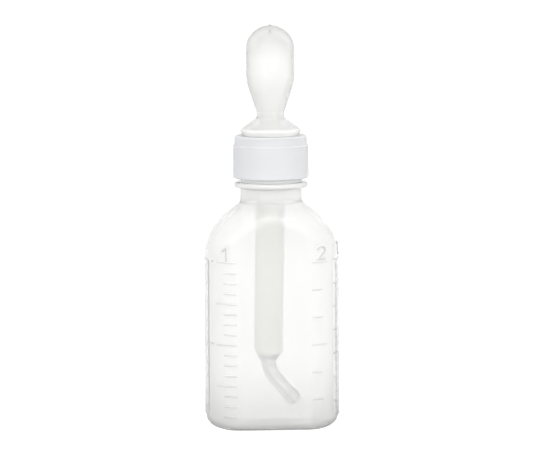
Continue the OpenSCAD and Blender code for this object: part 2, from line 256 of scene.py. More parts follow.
def arc(centre, radius, start, end, count):
    """(r, z) points along an arc, angles in degrees."""
    a = np.radians(np.linspace(start, end, count))
    return np.column_stack([centre[0] + radius * np.cos(a), centre[1] + radius * np.sin(a)])


def straight(start, end, step):
    """(r, z) points from start to end, no two further apart than step."""
    start, end = np.array(start), np.array(end)
    count = max(1, math.ceil(np.linalg.norm(end - start) / step))
    return np.array([start + (end - start) * k / count for k in range(count + 1)])


def upright(radius, start_z, end_z, count):
    """count points at one radius, from start_z to end_z."""
    return np.column_stack([np.full(count, radius), np.linspace(start_z, end_z, count)])


def grid_object(name, rows, wrap_rows=False, sharp=32.0):
    """A closed mesh from rows of points, each row a loop. With wrap_rows the last row joins
    the first; otherwise a fan closes each end. Edges sharper than sharp degrees stay crisp."""
    rows = np.asarray(rows, float)
    n_rows, n_cols = rows.shape[:2]
    verts = rows.reshape(-1, 3)
    i, j = np.meshgrid(
        np.arange(n_rows if wrap_rows else n_rows - 1), np.arange(n_cols), indexing="ij"
    )
    i, j = i.ravel(), j.ravel()
    up, on = (i + 1) % n_rows, (j + 1) % n_cols
    quads = np.column_stack(
        [i * n_cols + j, i * n_cols + on, up * n_cols + on, up * n_cols + j]
    )
    faces = quads.tolist()
    if not wrap_rows:
        first, last = len(verts), len(verts) + 1
        verts = np.vstack([verts, rows[0].mean(0), rows[-1].mean(0)])
        base = (n_rows - 1) * n_cols
        for k in range(n_cols):
            faces.append([first, (k + 1) % n_cols, k])
            faces.append([last, base + k, base + (k + 1) % n_cols])
    mesh = bpy.data.meshes.new(name)
    mesh.from_pydata((verts * MM).tolist(), [], faces)
    mesh.validate()
    mesh.shade_smooth()
    mesh.set_sharp_from_angle(angle=math.radians(sharp))
    obj = bpy.data.objects.new(name, mesh)
    bpy.context.scene.collection.objects.link(obj)
    return obj


def lathe_rows(profile, columns, radius_at=None):
    """Rows of points round the Z axis. radius_at(r, z, angle) may change the radius."""
    a = np.linspace(0, 2 * math.pi, columns, endpoint=False)
    r = profile[:, 0][:, None] + np.zeros_like(a)[None, :]
    z = profile[:, 1][:, None] + np.zeros_like(a)[None, :]
    if radius_at is not None:
        r = radius_at(r, z, a[None, :])
    return np.stack([r * np.cos(a), r * np.sin(a), z], axis=-1)


def thread_height(z, angle, lower_z, foot, crest):
    """How far the helical ridge stands out at height z and angle, from 0 to 1."""
    best = np.zeros(np.broadcast(z, angle).shape)
    for turn in range(-1, math.ceil(TURNS) + 1):
        travelled = (angle % (2 * math.pi)) / (2 * math.pi) + turn
        middle = lower_z + PITCH * travelled
        slope = (foot / 2 - np.abs(z - middle)) / ((foot - crest) / 2)
        fade = np.clip(np.minimum(travelled, TURNS - travelled) / RUN_OUT, 0, 1)
        best = np.maximum(best, np.clip(slope, 0, 1) * smoothstep(fade, 0, 1))
    return best


# ---------------------------------------------------------------- bottle


def plan_radius(angle, grow=0.0):
    """Distance from the axis to the body's outline, seen from above."""
    c, s = np.abs(np.cos(angle)), np.abs(np.sin(angle))
    side = np.full_like(c, SIDE_R + grow)
    flat = (HALF_D + grow) / np.maximum(s, TINY)
    along = c * EDGE_X + s * EDGE_Y
    inside = along**2 - EDGE_X**2 - EDGE_Y**2 + (EDGE_R + grow) ** 2
    edge = along + np.sqrt(np.maximum(inside, 0))
    on_flat = flat * c <= EDGE_X
    on_side = np.arctan2(s, c) <= math.atan2(EDGE_Y, EDGE_X)
    return np.where(on_flat, flat, np.where(on_side, side, edge))


def shoulder_radius(z, grow=0.0):
    """Radius of the domed shoulder at height z, its surface moved out by grow."""
    rise = np.maximum(z - SHOULDER_Z, 0)
    slope = 2 * FALL * rise
    return SIDE_R - FALL * rise**2 + grow * np.sqrt(1 + slope**2)


def body_radius(angle, z, grow=0.0):
    """Outline and shoulder together, with a soft crease where the flat faces end."""
    a, b = np.broadcast_arrays(plan_radius(angle, grow), shoulder_radius(z, grow))
    flatness = smoothstep(SIDE_R + grow - a, 0.0, CREASE_FADE)
    k = CREASE * flatness + TINY
    h = np.maximum(k - np.abs(a - b), 0) / k
    return np.minimum(a, b) - h * h * k / 4


def front_angle(x):
    """Angle of the point of the front outline at x."""
    over = np.maximum(np.abs(x) - EDGE_X, 0)
    y = -(EDGE_Y + np.sqrt(np.maximum(EDGE_R**2 - over**2, 0)))
    return np.arctan2(y, x)


def side_angle(y, sx):
    """Angle of the point of a narrow side at y; sx is -1 or 1."""
    return np.arctan2(y, sx * np.sqrt(SIDE_R**2 - np.asarray(y, float) ** 2))


def line_heights(divisions):
    """Heights of the middles of a scale's lines, from the lowest to the top one."""
    pitch = (TOP_Z - ZERO_Z) / divisions
    return ZERO_Z + pitch * np.arange(1, divisions + 1)


def bar(value, low, high, bevel=BEVEL):
    """1 between low and high, falling to 0 over a bevel at each end."""
    return np.clip(np.minimum(value - low, high - value) / bevel, 0, 1)


def scale_relief(along, z, divisions, every, short, long):
    """Height of one scale's lines, from 0 to 1, for points at along and z."""
    best = np.zeros(np.broadcast(along, z).shape)
    for k, middle in enumerate(line_heights(divisions), start=1):
        ends = long if k % every == divisions % every else short
        line = bar(z, middle - LINE_T / 2, middle + LINE_T / 2)
        best = np.maximum(best, line * bar(along, *ends))
    return best


def stroke_distance(u, v, points):
    """Distance from each point to a line through points."""
    best = np.full(np.broadcast(u, v).shape, np.inf)
    for (ax, ay), (bx, by) in zip(points[:-1], points[1:]):
        dx, dy = bx - ax, by - ay
        t = np.clip(((u - ax) * dx + (v - ay) * dy) / (dx * dx + dy * dy), 0, 1)
        best = np.minimum(best, np.hypot(u - ax - t * dx, v - ay - t * dy))
    return best


def numeral_strokes(digit):
    """Centrelines of a numeral 1, 2 or 3 about 3.8 tall, its foot at height 0."""
    if digit == 1:
        return [np.array([(-1.0, 2.75), (0.25, 3.7), (0.25, 0.0)])]
    if digit == 2:
        bowl = arc((0, 2.9), 1.1, 165, -35, 14)
        return [np.vstack([bowl, [(-1.1, 0.1), (1.15, 0.1)]])]
    upper = arc((0, 2.85), 0.9, 150, -90, 12)
    lower = arc((0, 1.0), 1.0, 90, -150, 12)
    return [upper, lower]


def numeral_relief(u, v, digit, half_stroke):
    """Height of a numeral, from 0 to 1, for points at u across and v up."""
    d = np.min([stroke_distance(u, v, s) for s in numeral_strokes(digit)], axis=0)
    return np.clip((half_stroke - d) / BEVEL + 0.5, 0, 1)


def body_relief(x, y, z, radius):
    """How far lines, numerals and side bands stand out from the body at each point, and how much painted
    shade each point of a line or a numeral gets, from 0 to 1."""
    front = y < 0
    height = np.zeros_like(x)
    painted_shade = np.zeros_like(x)
    for divisions, every, short, long in FRONT_SCALES:
        lines = scale_relief(x, z, divisions, every, short, long) * front
        height = np.maximum(height, LINE_RELIEF * lines)
        painted_shade = np.maximum(painted_shade, LINE_SHADE_WEIGHT * lines)
    for digit, middle in NUMERALS.items():
        shape = numeral_relief(x - middle, z - NUMERAL_Z, digit, NUMERAL_STROKE) * front
        height = np.maximum(height, NUMERAL_RELIEF * shape)
        painted_shade = np.maximum(painted_shade, shape**2)
    band = bar(y, -BAND_Y, BAND_Y, BAND_BEVEL) * bar(z, BAND_LOW_Z, BAND_HIGH_Z, BAND_END_BEVEL)
    height = np.maximum(height, BAND_RELIEF * band * (np.abs(x) > EDGE_X))
    for sx, divisions, every, short, long in SIDE_SCALES:
        lines = scale_relief(y, z, divisions, every, short, long) * (sx * x > EDGE_X)
        height = np.maximum(height, SIDE_LINE_RELIEF * lines)
        painted_shade = np.maximum(painted_shade, SIDE_SHADE_WEIGHT * lines)
    shape = numeral_relief(y, z - NUMERAL_Z, SIDE_NUMERAL, SIDE_STROKE) * (x > EDGE_X)
    flush = np.clip(SIDE_R + BAND_RELIEF - radius, 0, SIDE_FLUSH)
    return np.maximum(height, flush * shape), np.maximum(painted_shade, SIDE_SHADE_WEIGHT * shape)


def merged(base, features, gap):
    """Sorted base and feature values, without base values too near a feature."""
    features = np.unique(np.round(features, 5))
    near = np.abs(base[:, None] - features[None, :]).min(1) < gap
    return np.sort(np.concatenate([base[~near], features]))


def body_columns():
    """Angles round the bottle, denser where a line, a band or a numeral needs it."""
    marks = []
    for _, _, short, long in FRONT_SCALES:
        for low, high in (short, long):
            marks.append(front_angle(np.array([low, low + BEVEL, high - BEVEL, high])))
    for middle in NUMERALS.values():
        low, high = NUMERAL_SPAN
        marks.append(front_angle(np.arange(middle + low, middle + high, NUMERAL_STEP)))
    for sx, _, _, short, long in SIDE_SCALES:
        for low, high in (short, long, (-BAND_Y, BAND_Y)):
            bevel = BAND_BEVEL if high == BAND_Y else BEVEL
            y = np.array([low, low + bevel, high - bevel, high])
            marks.append(side_angle(y, sx))
    marks.append(side_angle(np.arange(*SIDE_SPAN, NUMERAL_STEP), 1))
    turn = 2 * math.pi
    base = np.linspace(0, turn, BODY_COLUMNS, endpoint=False)
    return merged(base, np.concatenate(marks) % turn, COLUMN_GAP)


def body_heights():
    """Heights of the rows up the body, from the base's rounded edge to the neck."""
    half = LINE_T / 2
    marks = [BAND_LOW_Z, BAND_LOW_Z + BAND_END_BEVEL, BAND_HIGH_Z - BAND_END_BEVEL, BAND_HIGH_Z]
    low, high = NUMERAL_RISE
    marks += list(np.arange(NUMERAL_Z + low, NUMERAL_Z + high, NUMERAL_STEP))
    for divisions in [scale[0] for scale in FRONT_SCALES] + [scale[1] for scale in SIDE_SCALES]:
        for middle in line_heights(divisions):
            marks += [middle - half, middle - half + BEVEL]
            marks += [middle + half - BEVEL, middle + half]
    marks = np.array([m for m in marks if m > BASE_R + 0.05])
    straight_part = np.arange(BASE_R, SHOULDER_Z, ROW_STEP)
    shoulder = np.linspace(SHOULDER_Z, NECK_ROOT_Z, SHOULDER_ROWS)
    return merged(np.concatenate([straight_part, shoulder]), marks, ROW_GAP)


def polar_row(radius, angle, z):
    """One loop of points at height z."""
    radius = np.broadcast_to(radius, angle.shape)
    return np.column_stack([radius * np.cos(angle), radius * np.sin(angle), np.full_like(angle, z)])


def base_rows(angle, wall, slope_width):
    """Rows from the middle of the base out to the top of its rounded edge, on the outside
    with no wall, or on the inside of one. The hollow's slope takes slope_width."""
    rim = BASE_R + BASE_RIM
    edge = BASE_R - wall
    rows = []
    for share in (0.06, 0.2, 0.4, 0.6, 0.8, 0.93, 1.0):
        rows.append(polar_row(plan_radius(angle, -rim) * share, angle, wall + PUSH_UP))
    for t in (0.25, 0.5, 0.75, 1.0):
        height = wall + PUSH_UP * (1 - smoothstep(t, 0, 1))
        rows.append(polar_row(plan_radius(angle, slope_width * t - rim), angle, height))
    for a in np.radians(np.linspace(-90, 0, 9)):
        grow = edge * math.cos(a) - edge - wall
        rows.append(polar_row(plan_radius(angle, grow), angle, wall + edge + edge * math.sin(a)))
    return rows


def neck_profile():
    """(r, z) up the outside of the neck, over the ring and the thread, to the mouth."""
    below, above = RING_Z - RING_T / 2 - NECK_FILLET, RING_Z + RING_T / 2 + NECK_FILLET
    thread_low, thread_high = THREAD_Z - THREAD_MARGIN, THREAD_Z + PITCH * TURNS + THREAD_MARGIN
    return np.vstack(
        [
            [(NECK_R + out, NECK_ROOT_Z + up) for out, up in ROOT_CURVE],
            [(NECK_R, below)],
            arc((NECK_R + NECK_FILLET, below), NECK_FILLET, 180, 90, 4),
            arc((RING_R - RING_T / 2, RING_Z), RING_T / 2, -90, 90, 13),
            arc((NECK_R + NECK_FILLET, above), NECK_FILLET, 270, 180, 4),
            upright(NECK_R, thread_low, thread_high, THREAD_ROWS),
            arc((NECK_R - NECK_FILLET, MOUTH_Z - NECK_FILLET), NECK_FILLET, 0, 90, 5),
            arc((NECK_BORE_R + MOUTH_FILLET, MOUTH_Z - MOUTH_FILLET), MOUTH_FILLET, 90, 180, 5),
        ]
    )


def build_bottle():
    """The hollow bottle in one mesh: base, body, neck, mouth, then down the inside. Its lines and numerals
    carry painted shade, kept in an attribute."""
    angle = body_columns()
    inner_root_z = NECK_ROOT_Z + WALL_LAG
    rows = base_rows(angle, 0.0, BASE_RIM)
    marks = [np.zeros_like(angle) for _ in rows]
    for z in body_heights():
        radius = body_radius(angle, z)
        x, y = radius * np.cos(angle), radius * np.sin(angle)
        height, painted_shade = body_relief(x, y, np.full_like(x, z), radius)
        rows.append(polar_row(radius + height, angle, z))
        marks.append(painted_shade)
    for r, z in neck_profile():
        ridge = thread_height(np.full_like(angle, z), angle, THREAD_Z, *NECK_RIDGE)
        stands_out = THREAD_H * ridge if abs(r - NECK_R) < TINY else 0.0
        rows.append(polar_row(r + stands_out, angle, z))
    # down the inside: bore of the neck, shoulder, walls, and the base's edge and floor
    for z in np.linspace(MOUTH_Z - 1.0, inner_root_z, STRAIGHT_ROWS):
        rows.append(polar_row(NECK_BORE_R, angle, z))
    for z in np.linspace(inner_root_z - 0.4, SHOULDER_Z, SHOULDER_ROWS):
        radius = np.maximum(body_radius(angle, min(z, NECK_ROOT_Z), -WALL), NECK_BORE_R)
        share = smoothstep(inner_root_z - z, 0.0, WALL_EASE)
        rows.append(polar_row(NECK_BORE_R + (radius - NECK_BORE_R) * share, angle, z))
    for z in np.linspace(SHOULDER_Z - 2, BASE_R + 1, STRAIGHT_ROWS):
        rows.append(polar_row(body_radius(angle, z, -WALL), angle, z))
    rows += base_rows(angle, WALL, FLOOR_RIM)[::-1]
    shell = grid_object("bottle_shell", rows)
    # painted shade of the lines and numerals, point by point
    values = np.zeros(len(shell.data.vertices), np.float32)
    values[: len(marks) * len(angle)] = np.concatenate(marks)
    shell.data.attributes.new("painted_shade", "FLOAT", "POINT").data.foreach_set("value", values)
    return shell


# ---------------------------------------------------------------- cap


def build_cap():
    """The ring cap as one closed section turned round the axis, with a thread inside."""
    upper_r = CAP_R - CAP_STEP
    crest_r = NECK_R + CREST_GAP
    step_r = CAP_R - CAP_DRAFT
    lower_z = THREAD_Z - PITCH / 2
    profile = np.vstack(
        [
            [(CAP_BORE_R + 0.25, CAP_BASE)],
            arc((CAP_R - CAP_LOW_EDGE, CAP_BASE + CAP_LOW_EDGE), CAP_LOW_EDGE, -90, 0, 7),
            straight((CAP_R - HAIR, CAP_BASE + 1), (step_r, CAP_STEP_Z - STEP_EDGE), 1.2),
            arc((step_r - STEP_EDGE, CAP_STEP_Z - STEP_EDGE), STEP_EDGE, 0, 90, 4),
            arc((upper_r + STEP_FILLET, CAP_STEP_Z + STEP_FILLET), STEP_FILLET, 270, 180, 4),
            straight((upper_r, CAP_STEP_Z + 0.4), (upper_r, CAP_TOP - CAP_TOP_EDGE - 0.2), 0.8),
            arc((upper_r - CAP_TOP_EDGE, CAP_TOP - CAP_TOP_EDGE), CAP_TOP_EDGE, 0, 90, 8),
            straight((upper_r - CAP_TOP_EDGE - 0.2, CAP_TOP), (HOLE_R + 0.3, CAP_TOP), 1.2),
            arc((HOLE_R + HOLE_EDGE, CAP_TOP - HOLE_EDGE), HOLE_EDGE, 90, 180, 4),
            arc((HOLE_R + HOLE_EDGE, PLATE_Z + HOLE_EDGE), HOLE_EDGE, 180, 270, 4),
            straight((HOLE_R + 0.4, PLATE_Z), (CAP_BORE_R - 0.5, PLATE_Z), 1.2),
            arc((CAP_BORE_R - BORE_FILLET, PLATE_Z - BORE_FILLET), BORE_FILLET, 90, 0, 4),
            upright(CAP_BORE_R, PLATE_Z - 1.0, CAP_BASE + 0.5, CAP_BORE_ROWS),
        ]
    )

    def inner_thread(r, z, angle):
        on_bore = np.abs(r - CAP_BORE_R) < TINY
        height = thread_height(z, angle, lower_z, *CAP_RIDGE)
        return r - (CAP_BORE_R - crest_r) * height * on_bore

    rows = lathe_rows(profile, CAP_COLUMNS, inner_thread)
    return grid_object("screw_cap_ring", rows, wrap_rows=True)


# ---------------------------------------------------------------- bulb


def bulb_outside():
    """(r, z) from the lower flange up over the skirt, neck and belly to the top."""
    lean = math.radians(FLARE)
    flange_r = NECK_R - SOFT_GAP - FLANGE_EDGE
    groove_r = HOLE_R - SOFT_GAP
    foot_z = CAP_TOP + SOFT_GAP
    rim_z = foot_z + 1.55
    belly_r = BULB_R - 0.02
    flare_top_r = belly_r - BELLY_CURVE_R * (1 - math.cos(lean))
    flare_top_z = BULB_NECK_Z + (flare_top_r - BULB_NECK_R) / math.tan(lean)
    belly_z = flare_top_z + BELLY_CURVE_R * math.sin(lean)
    dome_z = BULB_TOP - NUB_H - BULB_R
    nub_angle = math.degrees(math.acos(NUB_R / BULB_R))
    return np.vstack(
        [
            [(SPIGOT_R + SOFT_GAP + 0.2, MOUTH_Z)],
            arc((flange_r, MOUTH_Z + FLANGE_EDGE), FLANGE_EDGE, -90, 0, 4),
            arc((flange_r, PLATE_Z - SOFT_GAP - FLANGE_EDGE), FLANGE_EDGE, 0, 90, 4),
            [(groove_r + 0.1, PLATE_Z - SOFT_GAP), (groove_r, PLATE_Z)],
            [(groove_r, CAP_TOP), (groove_r + 0.1, foot_z)],
            arc((SKIRT_R - 0.9, foot_z + FLANGE_EDGE), FLANGE_EDGE, -90, -20, 4),
            arc((SKIRT_R - SKIRT_ROUND, rim_z), SKIRT_ROUND, -25, 57, 9),
            straight(
                (SKIRT_R - 0.5, rim_z + 0.62), (BULB_NECK_R + 0.75, BULB_NECK_Z - 2.2), 0.7
            ),
            arc((BULB_NECK_R + NECK_HOLLOW, BULB_NECK_Z - 1.2), NECK_HOLLOW, 230, 180, 6),
            [(BULB_NECK_R, BULB_NECK_Z - 0.5)],
            arc((BULB_NECK_R + NECK_FLARE, BULB_NECK_Z), NECK_FLARE, 180, 180 - FLARE, 4),
            straight((BULB_NECK_R + 0.2, BULB_NECK_Z + 0.8), (flare_top_r, flare_top_z), 0.8),
            arc((belly_r - BELLY_CURVE_R, belly_z), BELLY_CURVE_R, -FLARE, 0, 9)[1:],
            straight((belly_r, belly_z + 0.6), (BULB_R - HAIR, dome_z - 0.5), 0.8),
            arc((0, dome_z), BULB_R, 0, nub_angle, 26),
            [(NUB_R - 0.05, BULB_TOP - 0.12), (NUB_R - 0.2, BULB_TOP)],
        ]
    )


def bulb_inside():
    """(r, z) from the inside of the dome down the belly and throat to the bore."""
    inner_r = BULB_R - BULB_WALL
    inner_top = BULB_TOP - NUB_H - BULB_DOME_T
    dome_z = BULB_TOP - BULB_R - CAVITY_DOME
    belly_z = CAVITY_BELLY_Z
    bore_r = SPIGOT_R + SOFT_GAP
    pip_top = inner_top + PIP_H
    a = np.radians(np.linspace(6, 90, 20))
    dome_r = inner_r * np.sin(a) ** 1.25
    return np.vstack(
        [
            [(PIP_R - 0.1, pip_top), (PIP_R, pip_top - 0.1), (PIP_R, inner_top)],
            np.column_stack([dome_r, dome_z + (inner_top - dome_z) * np.cos(a)]),
            straight((inner_r, dome_z - 1), (inner_r, belly_z + 2.5), 1.0),
            [(inner_r, belly_z + 1.5), (inner_r - 0.25, belly_z - 1.5)],
            straight((inner_r - 0.75, belly_z - 3.4), THROAT, 0.9),
            straight(THROAT, (bore_r - 0.1, SPIGOT_TOP + 1.5), 0.8)[1:],
            [(bore_r - 0.3, SPIGOT_TOP + 0.6), (bore_r - 0.3, SPIGOT_TOP + 0.1)],
            straight((bore_r, SPIGOT_TOP + 0.08), (bore_r, MOUTH_Z + 0.15), 1.2),
        ]
    )


def squeeze_weights(obj):
    """Pinches the bulb: the front wall follows the squeeze, the rear wall mirrors it, and
    the neck, skirt and flange stay with the dropper."""
    co = np.array([v.co for v in obj.data.vertices]) / MM
    pinch = smoothstep(co[:, 2], BULB_NECK_Z, PINCH_Z)
    pinch *= 1 - PINCH_LOSS * smoothstep(co[:, 2], PINCH_FADE_Z, BULB_TOP)
    weights = -co[:, 1] / BULB_R * pinch
    data = obj.data.attributes["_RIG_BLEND"].data
    data.foreach_set("value", weights.astype(np.float32))


def build_bulb():
    """The hollow bulb as one profile, from its cavity's top round its foot to its nub."""
    profile = np.vstack([bulb_inside(), bulb_outside()])
    return grid_object("squeeze_bulb", lathe_rows(profile, BULB_COLUMNS), sharp=38.0)


# ---------------------------------------------------------------- pipette


def tip_frame(s):
    """Centre and sideways direction at s along the tube's axis, where s is 0 at the middle
    of the ball and grows upwards."""
    angle = np.clip((TIP_RUN + BEND_RUN - s) / BEND_R, 0, BEND)
    up = np.array([-math.sin(angle), 0, math.cos(angle)])
    side = np.array([math.cos(angle), 0, math.sin(angle)])
    centre = np.array([BEND_R * (1 - math.cos(angle)), 0, BEND_Z - BEND_R * math.sin(angle)])
    if s < TIP_RUN:
        centre = centre - up * (TIP_RUN - s)
    if s > TIP_RUN + BEND_RUN:
        centre = centre + up * (s - TIP_RUN - BEND_RUN)
    return centre, side


def sweep_rows(profile, columns):
    """Rows of points round the tube's axis for (r, s) points."""
    a = np.linspace(0, 2 * math.pi, columns, endpoint=False)
    rows = []
    for r, s in profile:
        centre, side = tip_frame(s)
        across = np.outer(np.cos(a), side) + np.outer(np.sin(a), [0, 1, 0])
        rows.append(centre + r * across)
    return np.array(rows)


def leaned(rows):
    """The tube leans a little below the spigot, which stays upright in the bulb."""
    share = 1 - smoothstep(rows[..., 2], TUBE_TOP - 0.5, TUBE_TOP + 0.5)
    a = LEAN * share
    x, z = rows[..., 0].copy(), rows[..., 2] - TUBE_TOP
    rows[..., 0] = x * np.cos(a) + z * np.sin(a)
    rows[..., 2] = TUBE_TOP - x * np.sin(a) + z * np.cos(a)
    return rows


def pipette_outside(end, top, spigot_top):
    """(r, s) from the ball's mouth up the tip and the tube to the spigot's rim."""
    ball_low = -math.degrees(math.acos(TIP_BORE_R / BALL_R))
    ball_high = math.degrees(math.acos(TIP_R / BALL_R))
    rim = SPIGOT_R - SPIGOT_EDGE
    return np.vstack(
        [
            [(TIP_BORE_R + 0.02, BALL_R * math.sin(math.radians(ball_low)) + 0.1)],
            arc((0, 0), BALL_R, ball_low + 4, ball_high - 6, 16),
            arc((TIP_R + 0.3, 1.75), 0.42, 225, 180, 4),
            straight((TIP_R - TIP_TAPER, 2.2), (TIP_R, end - 3.1), 0.6),
            [(TIP_R + 0.12, end - 2.8), (TIP_R + 0.4, end - 2.45)],
            [(TUBE_R - 0.45, end - 0.4), (TUBE_R - 0.12, end + 0.05), (TUBE_R - 0.02, end + 0.45)],
            straight((TUBE_R, end + 1), (TUBE_R, top - TUBE_EDGE_R - 0.1), 2.5),
            arc((TUBE_R - TUBE_EDGE_R, top - TUBE_EDGE_R), TUBE_EDGE_R, 0, 90, 4),
            [(SPIGOT_R + 0.02, top), (SPIGOT_R, top + 0.05)],
            straight((SPIGOT_R, top + 0.6), (SPIGOT_R, spigot_top - 0.5), 1.5),
            arc((rim, spigot_top - SPIGOT_EDGE), SPIGOT_EDGE, 0, 90, 4),
        ]
    )


def pipette_inside(end, top, spigot_top):
    """(r, s) from the spigot's rim down the bore, the tube and the tip."""
    bore_r = TUBE_R - TUBE_WALL
    spigot_bore = SPIGOT_R - SPIGOT_WALL
    round_r = TUBE_R - TIP_R + 0.1
    rim = (spigot_bore + SPIGOT_BORE_EDGE, spigot_top - SPIGOT_BORE_EDGE)
    return np.vstack(
        [
            arc(rim, SPIGOT_BORE_EDGE, 90, 180, 3),
            straight((spigot_bore, spigot_top - 0.5), (spigot_bore, top - 1.2), 1.5),
            arc((bore_r - 0.4, top - 1.8), 0.4, 90, 0, 4),
            straight((bore_r, top - 3), (bore_r, end + 1.2), 2.5),
            arc((TUBE_R - round_r, end + 0.3), round_r - 0.85, 0, -62, 8),
            [(TIP_BORE_R + 0.25, end - 1.7)],
            straight((TIP_BORE_R, end - 2.2), (TIP_BORE_R, -1.6), 0.6),
        ]
    )


def build_pipette():
    """The hollow tube as one closed section swept along its bent axis."""
    zero = TIP_RUN + BEND_RUN - BEND_Z  # s of height 0 on the upright part
    levels = (zero + TUBE_END, zero + TUBE_TOP, zero + SPIGOT_TOP)
    profile = np.vstack([pipette_outside(*levels), pipette_inside(*levels)])
    rows = leaned(sweep_rows(profile, TUBE_COLUMNS))
    return grid_object("dropper_tube", rows, wrap_rows=True, sharp=40.0)


# ---------------------------------------------------------------- materials

# Studio: where it is brightest, and its light behind, beside and in front of the object
BRIGHT_WAY = (0.04, 0.97, -0.2)
BACK_LIGHT = 1.055
SIDE_LIGHT = 1.03
FRONT_LIGHT = 1.08
SEEN_LIGHT = 1.1  # least light that the camera sees, so that the ground renders white
NEAR_FLOOR = 0.45  # share of its light that the floor gives close in front of the object

# Share of the light that passes straight into each plastic
BODY_CLEAR = 0.72
NECK_CLEAR = 0.5
FINISH_CLEAR = 0.4  # the neck above its ring
BULB_CLEAR = 0.58
SKIRT_CLEAR = 0.57
RIM_CLEAR = 0.4
TUBE_CLEAR = 0.75
TIP_CLEAR = 0.95
CAP_CLEAR = 0.5

# How strongly each plastic bends light
BODY_IOR = 1.25
BULB_IOR = 1.15
TUBE_IOR = 1.4
CAP_IOR = 1.49

# Darker and lighter colour of each plastic
BODY_COLOURS = ((0.985, 0.985, 0.98), (0.995, 0.995, 0.99))
BULB_COLOURS = ((0.918, 0.918, 0.905), (0.926, 0.926, 0.917))
TUBE_COLOURS = ((0.98, 0.975, 0.93), (0.99, 0.985, 0.945))
TIP_COLOURS = ((0.98, 0.98, 0.97), (0.99, 0.99, 0.98))
CAP_COLOURS = ((0.845, 0.85, 0.865), (0.87, 0.875, 0.89))

# Light that a wall absorbs per metre, and the colour of what it lets through
BODY_ABSORB = 3.0
BODY_WALL_COLOUR = (0.21, 0.2, 0.19)
BULB_ABSORB = 3.0
BULB_WALL_COLOUR = (0.21, 0.2, 0.16)

# Strength of the gloss
NECK_COAT = 0.35
SKIRT_COAT = 0.6
BELLY_COAT = 0.2

# Share of their colour that the clear plastics keep at their outlines, as painted shade
BODY_OUTLINE_SHADE = 0.96
BULB_OUTLINE_SHADE = 0.71
SKIRT_OUTLINE_SHADE = 0.85
TUBE_OUTLINE_SHADE = 0.7
TIP_OUTLINE_SHADE = 0.25

# Share of their colour that parts of the clear plastics keep everywhere
# painted shade, darkening the shoulder
SHOULDER_PAINTED_SHADE = 0.96
# painted shade, darkening the body near its base
BASE_PAINTED_SHADE = 0.92
# painted shade: share of their colour that the numerals keep; the lines keep more
PAINTED_LINE_SHADE = 0.72
DOME_TINT = 0.73
# painted shade: a dark dot on the clear pip at the top of the cavity
PIP_PAINTED_SHADE = 0.35
SKIRT_TINT = 0.93
# painted highlight: the skirt's rim lighter than its own colour
RIM_PAINTED_HIGHLIGHT = 1.1
TIP_TINT = 0.9
BALL_TINT = 0.82

# Heights of the bulb's skirt: from its bright rim, lit partly by gloss and partly by a painted highlight, to
# its plain slope
RIM_LOW_Z = CAP_TOP + 1.7
RIM_HIGH_Z = RIM_LOW_Z + 0.9


def new_material(name):
    """A new material, its node tree and its main shader."""
    mat = bpy.data.materials.new(name)
    mat.use_nodes = True
    return mat, mat.node_tree, mat.node_tree.nodes["Principled BSDF"]


def set_inputs(node, **values):
    """Sets a node's inputs by name, with underscores for spaces."""
    for key, value in values.items():
        node.inputs[key.replace("_", " ")].default_value = value


def feed(tree, socket, value):
    """Gives a socket a number, or another node's output."""
    if hasattr(value, "links"):
        tree.links.new(value, socket)
    else:
        socket.default_value = value


def object_coordinates(tree):
    """Position on the piece, in metres."""
    return tree.nodes.new("ShaderNodeTexCoord").outputs["Object"]


def noise(tree, coordinates, scale, stretch=(1, 1, 1), detail=3.0):
    """Noise at scale per metre, stretched along the axes."""
    mapping = tree.nodes.new("ShaderNodeMapping")
    mapping.inputs["Scale"].default_value = stretch
    texture = tree.nodes.new("ShaderNodeTexNoise")
    set_inputs(texture, Scale=scale, Detail=detail)
    tree.links.new(coordinates, mapping.inputs["Vector"])
    tree.links.new(mapping.outputs["Vector"], texture.inputs["Vector"])
    return texture.outputs["Fac"]


def ramp(tree, value, low, high):
    """value from 0 to 1 taken to low to high, as numbers or as other nodes' outputs."""
    node = tree.nodes.new("ShaderNodeMapRange")
    tree.links.new(value, node.inputs["Value"])
    feed(tree, node.inputs["To Min"], low)
    feed(tree, node.inputs["To Max"], high)
    return node.outputs["Result"]


def colour_ramp(tree, value, low, high):
    """value from 0 to 1 taken to the colours low to high, given as numbers or outputs."""
    node = tree.nodes.new("ShaderNodeMix")
    node.data_type = "RGBA"
    for name, colour in (("A", low), ("B", high)):
        feed(tree, node.inputs[name], (*colour, 1) if isinstance(colour, tuple) else colour)
    tree.links.new(value, node.inputs["Factor"])
    return node.outputs["Result"]


def math_node(tree, operation, a, b=0.0):
    """One sum, product or other operation on numbers or outputs."""
    node = tree.nodes.new("ShaderNodeMath")
    node.operation = operation
    feed(tree, node.inputs[0], a)
    feed(tree, node.inputs[1], b)
    return node.outputs[0]


def combined(tree, operation, first, *others):
    """The same operation over several outputs, such as their product."""
    for other in others:
        first = math_node(tree, operation, first, other)
    return first


def smooth_node(tree, value, low, high, to_low, to_high):
    """to_low where value is low, to_high where it is high, and a soft step between."""
    node = tree.nodes.new("ShaderNodeMapRange")
    node.interpolation_type = "SMOOTHSTEP"
    set_inputs(node, From_Min=low, From_Max=high, To_Min=to_low)
    feed(tree, node.inputs["To Max"], to_high)
    tree.links.new(value, node.inputs["Value"])
    return node.outputs["Result"]


def by_height(tree, coordinates, low_z, high_z, low, high):
    """low below low_z and high above high_z, in millimetres up the piece."""
    split = tree.nodes.new("ShaderNodeSeparateXYZ")
    tree.links.new(coordinates, split.inputs[0])
    return smooth_node(tree, split.outputs["Z"], low_z * MM, high_z * MM, low, high)


